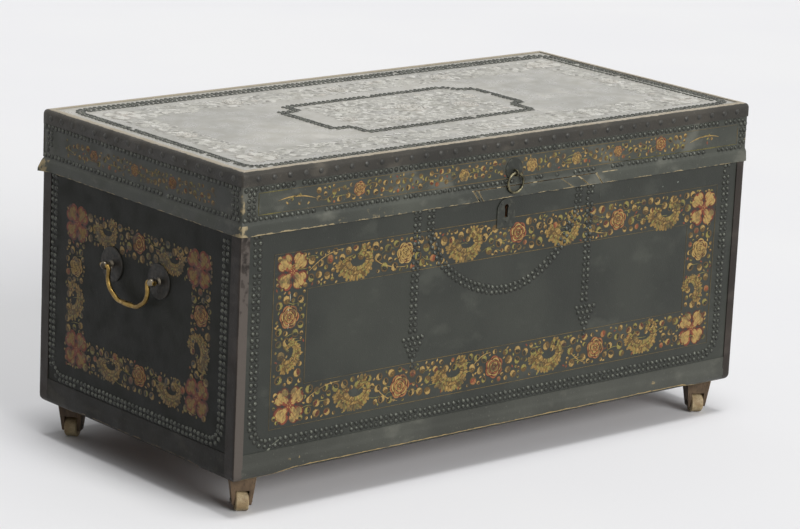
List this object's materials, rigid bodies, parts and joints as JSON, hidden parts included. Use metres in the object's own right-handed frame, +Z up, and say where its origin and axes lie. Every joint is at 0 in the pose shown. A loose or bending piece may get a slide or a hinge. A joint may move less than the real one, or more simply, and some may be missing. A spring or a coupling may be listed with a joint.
{
  "type": "leather-covered trunk",
  "caption": "Low leather-covered wooden trunk with a hinged box lid, hanging dust flap, box lock with staple and bolt, lid ring, swan-neck bail handles and wooden swivel casters.",
  "frame": {"origin": "on the floor under the middle of the trunk", "axes": "+X to the right along the long front, the front faces -Y, +Z up"},
  "size_m": [0.969, 0.472, 0.4734],
  "materials": {
    "camphor_wood": "satin",
    "painted_leather": "satin",
    "lid_leather": "satin",
    "flap_leather": "satin",
    "binding_leather": "satin",
    "nail_metal": "dull",
    "painted_brass": "dull",
    "ring_brass": "dull",
    "handle_brass": "satin",
    "hinge_brass": "dull",
    "lock_iron": "dull",
    "spring_steel": "satin",
    "screw_steel": "dull",
    "caster_iron": "dull",
    "caster_wood": "satin",
    "roller_wood": "satin"
  },
  "bodies": {
    "chest": {"front_board": "camphor_wood", "back_board": "camphor_wood", "left_board": "camphor_wood", "right_board": "camphor_wood", "bottom_board": "camphor_wood", "front_leather": "painted_leather", "back_leather": "painted_leather", "left_leather": "painted_leather", "right_leather": "painted_leather", "corner_bindings": "binding_leather", "base_bindings": "painted_leather", "escutcheon": "painted_brass", "escutcheon_pins": "painted_brass", "lock_case": "lock_iron", "lock_cover": "lock_iron", "lock_spring": "spring_steel", "lock_screws": "screw_steel", "handle_rosettes": "painted_brass", "handle_posts": "painted_brass", "hinge_leaves": "hinge_brass", "hinge_pins": "hinge_brass", "hinge_screws": "screw_steel", "caster_plates": "caster_iron", "caster_pivots": "caster_iron", "caster_screws": "screw_steel"},
    "lid": {"lid_top_board": "camphor_wood", "lid_front_rail": "camphor_wood", "lid_back_rail": "camphor_wood", "lid_left_rail": "camphor_wood", "lid_right_rail": "camphor_wood", "lid_top_leather": "lid_leather", "lid_front_leather": "flap_leather", "lid_back_leather": "flap_leather", "lid_left_leather": "flap_leather", "lid_right_leather": "flap_leather", "lid_edge_binding": "binding_leather", "binding_nails": "nail_metal", "lid_staple": "lock_iron", "staple_screws": "screw_steel", "ring_plate": "painted_brass", "ring_staple": "ring_brass", "hinge_lid_leaves": "hinge_brass", "hinge_lid_screws": "screw_steel"},
    "left_bail": {"left_bail": "handle_brass"},
    "right_bail": {"right_bail": "handle_brass"},
    "pull_ring": {"pull_ring": "ring_brass"},
    "lock_bolt": {"lock_bolt": "lock_iron"},
    "caster_front_left": {"caster_fork_front_left": "caster_wood", "caster_axle_front_left": "caster_iron"},
    "roller_front_left": {"caster_roller_front_left": "roller_wood"},
    "caster_front_right": {"caster_fork_front_right": "caster_wood", "caster_axle_front_right": "caster_iron"},
    "roller_front_right": {"caster_roller_front_right": "roller_wood"},
    "caster_back_left": {"caster_fork_back_left": "caster_wood", "caster_axle_back_left": "caster_iron"},
    "roller_back_left": {"caster_roller_back_left": "roller_wood"},
    "caster_back_right": {"caster_fork_back_right": "caster_wood", "caster_axle_back_right": "caster_iron"},
    "roller_back_right": {"caster_roller_back_right": "roller_wood"}
  },
  "joints": [
    {"name": "lid_hinge", "type": "hinge", "parent": "chest", "child": "lid", "pos_m": [0, 0.2311, 0.4031], "axis": [-1, 0, 0], "range_deg": [0, 105]},
    {"name": "left_bail_swing", "type": "hinge", "parent": "chest", "child": "left_bail", "pos_m": [-0.4785, 0.004, 0.288], "axis": [0, 1, 0], "range_deg": [-8, 188]},
    {"name": "right_bail_swing", "type": "hinge", "parent": "chest", "child": "right_bail", "pos_m": [0.4785, 0.004, 0.288], "axis": [0, -1, 0], "range_deg": [-8, 188]},
    {"name": "pull_ring_swing", "type": "hinge", "parent": "lid", "child": "pull_ring", "pos_m": [0.0065, -0.23185, 0.421], "axis": [-1, 0, 0], "range_deg": [0, 165]},
    {"name": "lock_bolt_slide", "type": "slide", "parent": "chest", "child": "lock_bolt", "axis": [1, 0, 0], "range_m": [0, 0.008]},
    {"name": "swivel_front_left", "type": "hinge", "parent": "chest", "child": "caster_front_left", "pos_m": [-0.4285, -0.196, 0.031], "axis": [0, 0, 1], "continuous": true},
    {"name": "swivel_front_right", "type": "hinge", "parent": "chest", "child": "caster_front_right", "pos_m": [0.4285, -0.196, 0.031], "axis": [0, 0, 1], "continuous": true},
    {"name": "swivel_back_left", "type": "hinge", "parent": "chest", "child": "caster_back_left", "pos_m": [-0.4285, 0.196, 0.031], "axis": [0, 0, 1], "continuous": true},
    {"name": "swivel_back_right", "type": "hinge", "parent": "chest", "child": "caster_back_right", "pos_m": [0.4285, 0.196, 0.031], "axis": [0, 0, 1], "continuous": true},
    {"name": "roll_front_left", "type": "hinge", "parent": "caster_front_left", "child": "roller_front_left", "pos_m": [-0.4285, -0.196, 0.0145], "axis": [0.866, -0.5, 0], "continuous": true},
    {"name": "roll_front_right", "type": "hinge", "parent": "caster_front_right", "child": "roller_front_right", "pos_m": [0.4285, -0.196, 0.0145], "axis": [0.891, -0.454, 0], "continuous": true},
    {"name": "roll_back_left", "type": "hinge", "parent": "caster_back_left", "child": "roller_back_left", "pos_m": [-0.4285, 0.196, 0.0145], "axis": [0.6157, -0.788, 0], "continuous": true},
    {"name": "roll_back_right", "type": "hinge", "parent": "caster_back_right", "child": "roller_back_right", "pos_m": [0.4285, 0.196, 0.0145], "axis": [0.9397, 0.342, 0], "continuous": true}
  ]
}
